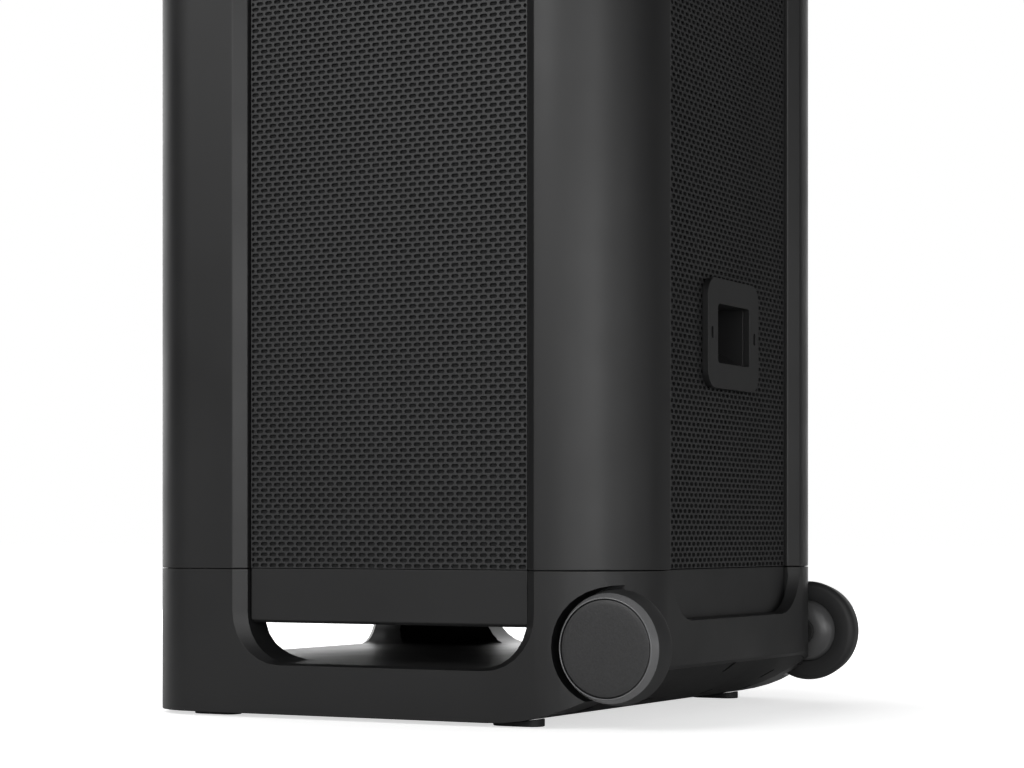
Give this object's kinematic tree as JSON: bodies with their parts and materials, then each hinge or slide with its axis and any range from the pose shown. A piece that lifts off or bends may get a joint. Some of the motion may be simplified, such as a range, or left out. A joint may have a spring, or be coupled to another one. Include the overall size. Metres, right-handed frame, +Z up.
{
  "type": "wheeled party speaker",
  "caption": "Tall matte black party speaker: perforated grilles between rounded corner pillars, open base and hand grips, rear wheels, mains inlet recess and top controls.",
  "frame": {"origin": "on the floor, at the centre of the whole outline with its wheels", "axes": "+Z up, front towards -Y, wheels towards +Y, right-hand side seen from the front of the row towards +X"},
  "size_m": [0.408, 0.4454, 1.1],
  "materials": {
    "shell": "fine-grained matte black moulding",
    "band": "matte black moulding, a little darker",
    "underside": "rough black moulding",
    "grille": "black powder coat on perforated steel",
    "cloth": "black woven acoustic cloth",
    "rubber": "black rubber",
    "cap": "finely grained black disc with a bright turned edge",
    "cabinet": "black moulded cabinet",
    "cone": "black pulp and plastic",
    "board": "green circuit board",
    "steel": "plated steel",
    "magnet": "ferrite",
    "aluminium": "die-cast aluminium",
    "panel": "gloss black control panel"
  },
  "bodies": {
    "cabinet": {"amplifier_board": "board", "axle": "steel", "base_frame": "shell", "bass_port": "cone", "cabinet_shell": "cabinet", "control_board": "board", "front_baffle": "cabinet", "front_cloth": "cloth", "front_grille": "grille", "heat_sink": "aluminium", "inlet_plate": "shell", "inlet_pocket": "band", "inlet_socket": "cone", "jack_panel": "shell", "left_axle_clip": "steel", "left_cloth": "cloth", "left_front_foot": "rubber", "left_front_pillar": "shell", "left_grille": "grille", "left_rear_foot": "rubber", "left_rear_pillar": "shell", "left_tweeter": "cone", "lower_band": "band", "lower_midrange_basket": "aluminium", "power_supply_board": "board", "rear_cloth": "cloth", "rear_grille": "grille", "right_axle_clip": "steel", "right_cloth": "cloth", "right_front_foot": "rubber", "right_front_pillar": "shell", "right_grille": "grille", "right_rear_foot": "rubber", "right_rear_pillar": "shell", "right_tweeter": "cone", "top_frame": "shell", "top_panel": "panel", "underside_cover": "underside", "upper_band": "band", "upper_midrange_basket": "aluminium", "woofer_basket": "aluminium", "woofer_magnet": "magnet", "woofer_surround": "rubber"},
    "right_wheel": {"right_tyre": "rubber", "right_hub": "shell", "right_wheel_cap": "cap", "right_wheel_bush": "rubber"},
    "left_wheel": {"left_tyre": "rubber", "left_hub": "shell", "left_wheel_cap": "cap", "left_wheel_bush": "rubber"},
    "volume_knob": {"volume_knob": "shell"},
    "power_button": {"power_button": "shell"},
    "play_button": {"play_button": "shell"},
    "light_button": {"light_button": "shell"},
    "jack_door": {"jack_door": "shell"},
    "woofer_cone": {"woofer_cone": "cone"},
    "lower_midrange_cone": {"lower_midrange_cone": "cone"},
    "upper_midrange_cone": {"upper_midrange_cone": "cone"}
  },
  "joints": [
    {"name": "right_wheel_spin", "type": "hinge", "parent": "cabinet", "child": "right_wheel", "pos_m": [0.19, 0.1817, 0.0583], "axis": [1, 0, 0], "continuous": true},
    {"name": "left_wheel_spin", "type": "hinge", "parent": "cabinet", "child": "left_wheel", "pos_m": [-0.19, 0.1817, 0.0583], "axis": [1, 0, 0], "continuous": true},
    {"name": "volume_turn", "type": "hinge", "parent": "cabinet", "child": "volume_knob", "pos_m": [0, -0.1273, 1.096], "axis": [0, 0, 1], "continuous": true},
    {"name": "power_press", "type": "slide", "parent": "cabinet", "child": "power_button", "axis": [0, 0, -1], "range_m": [0, 0.0012], "stiffness_N_per_m": 800, "springref_m": -0.0008},
    {"name": "play_press", "type": "slide", "parent": "cabinet", "child": "play_button", "axis": [0, 0, -1], "range_m": [0, 0.0012], "stiffness_N_per_m": 800, "springref_m": -0.0008},
    {"name": "light_press", "type": "slide", "parent": "cabinet", "child": "light_button", "axis": [0, 0, -1], "range_m": [0, 0.0012], "stiffness_N_per_m": 800, "springref_m": -0.0008},
    {"name": "jack_door_open", "type": "hinge", "parent": "cabinet", "child": "jack_door", "pos_m": [0, 0.1912, 0.8802], "axis": [-1, 0, 0], "range_deg": [0, 100]},
    {"name": "woofer_travel", "type": "slide", "parent": "cabinet", "child": "woofer_cone", "axis": [0, -1, 0], "range_m": [-0.008, 0.008], "stiffness_N_per_m": 2500},
    {"name": "lower_midrange_travel", "type": "slide", "parent": "cabinet", "child": "lower_midrange_cone", "axis": [0, -1, 0], "range_m": [-0.002, 0.002], "stiffness_N_per_m": 2500},
    {"name": "upper_midrange_travel", "type": "slide", "parent": "cabinet", "child": "upper_midrange_cone", "axis": [0, -1, 0], "range_m": [-0.002, 0.002], "stiffness_N_per_m": 2500}
  ]
}
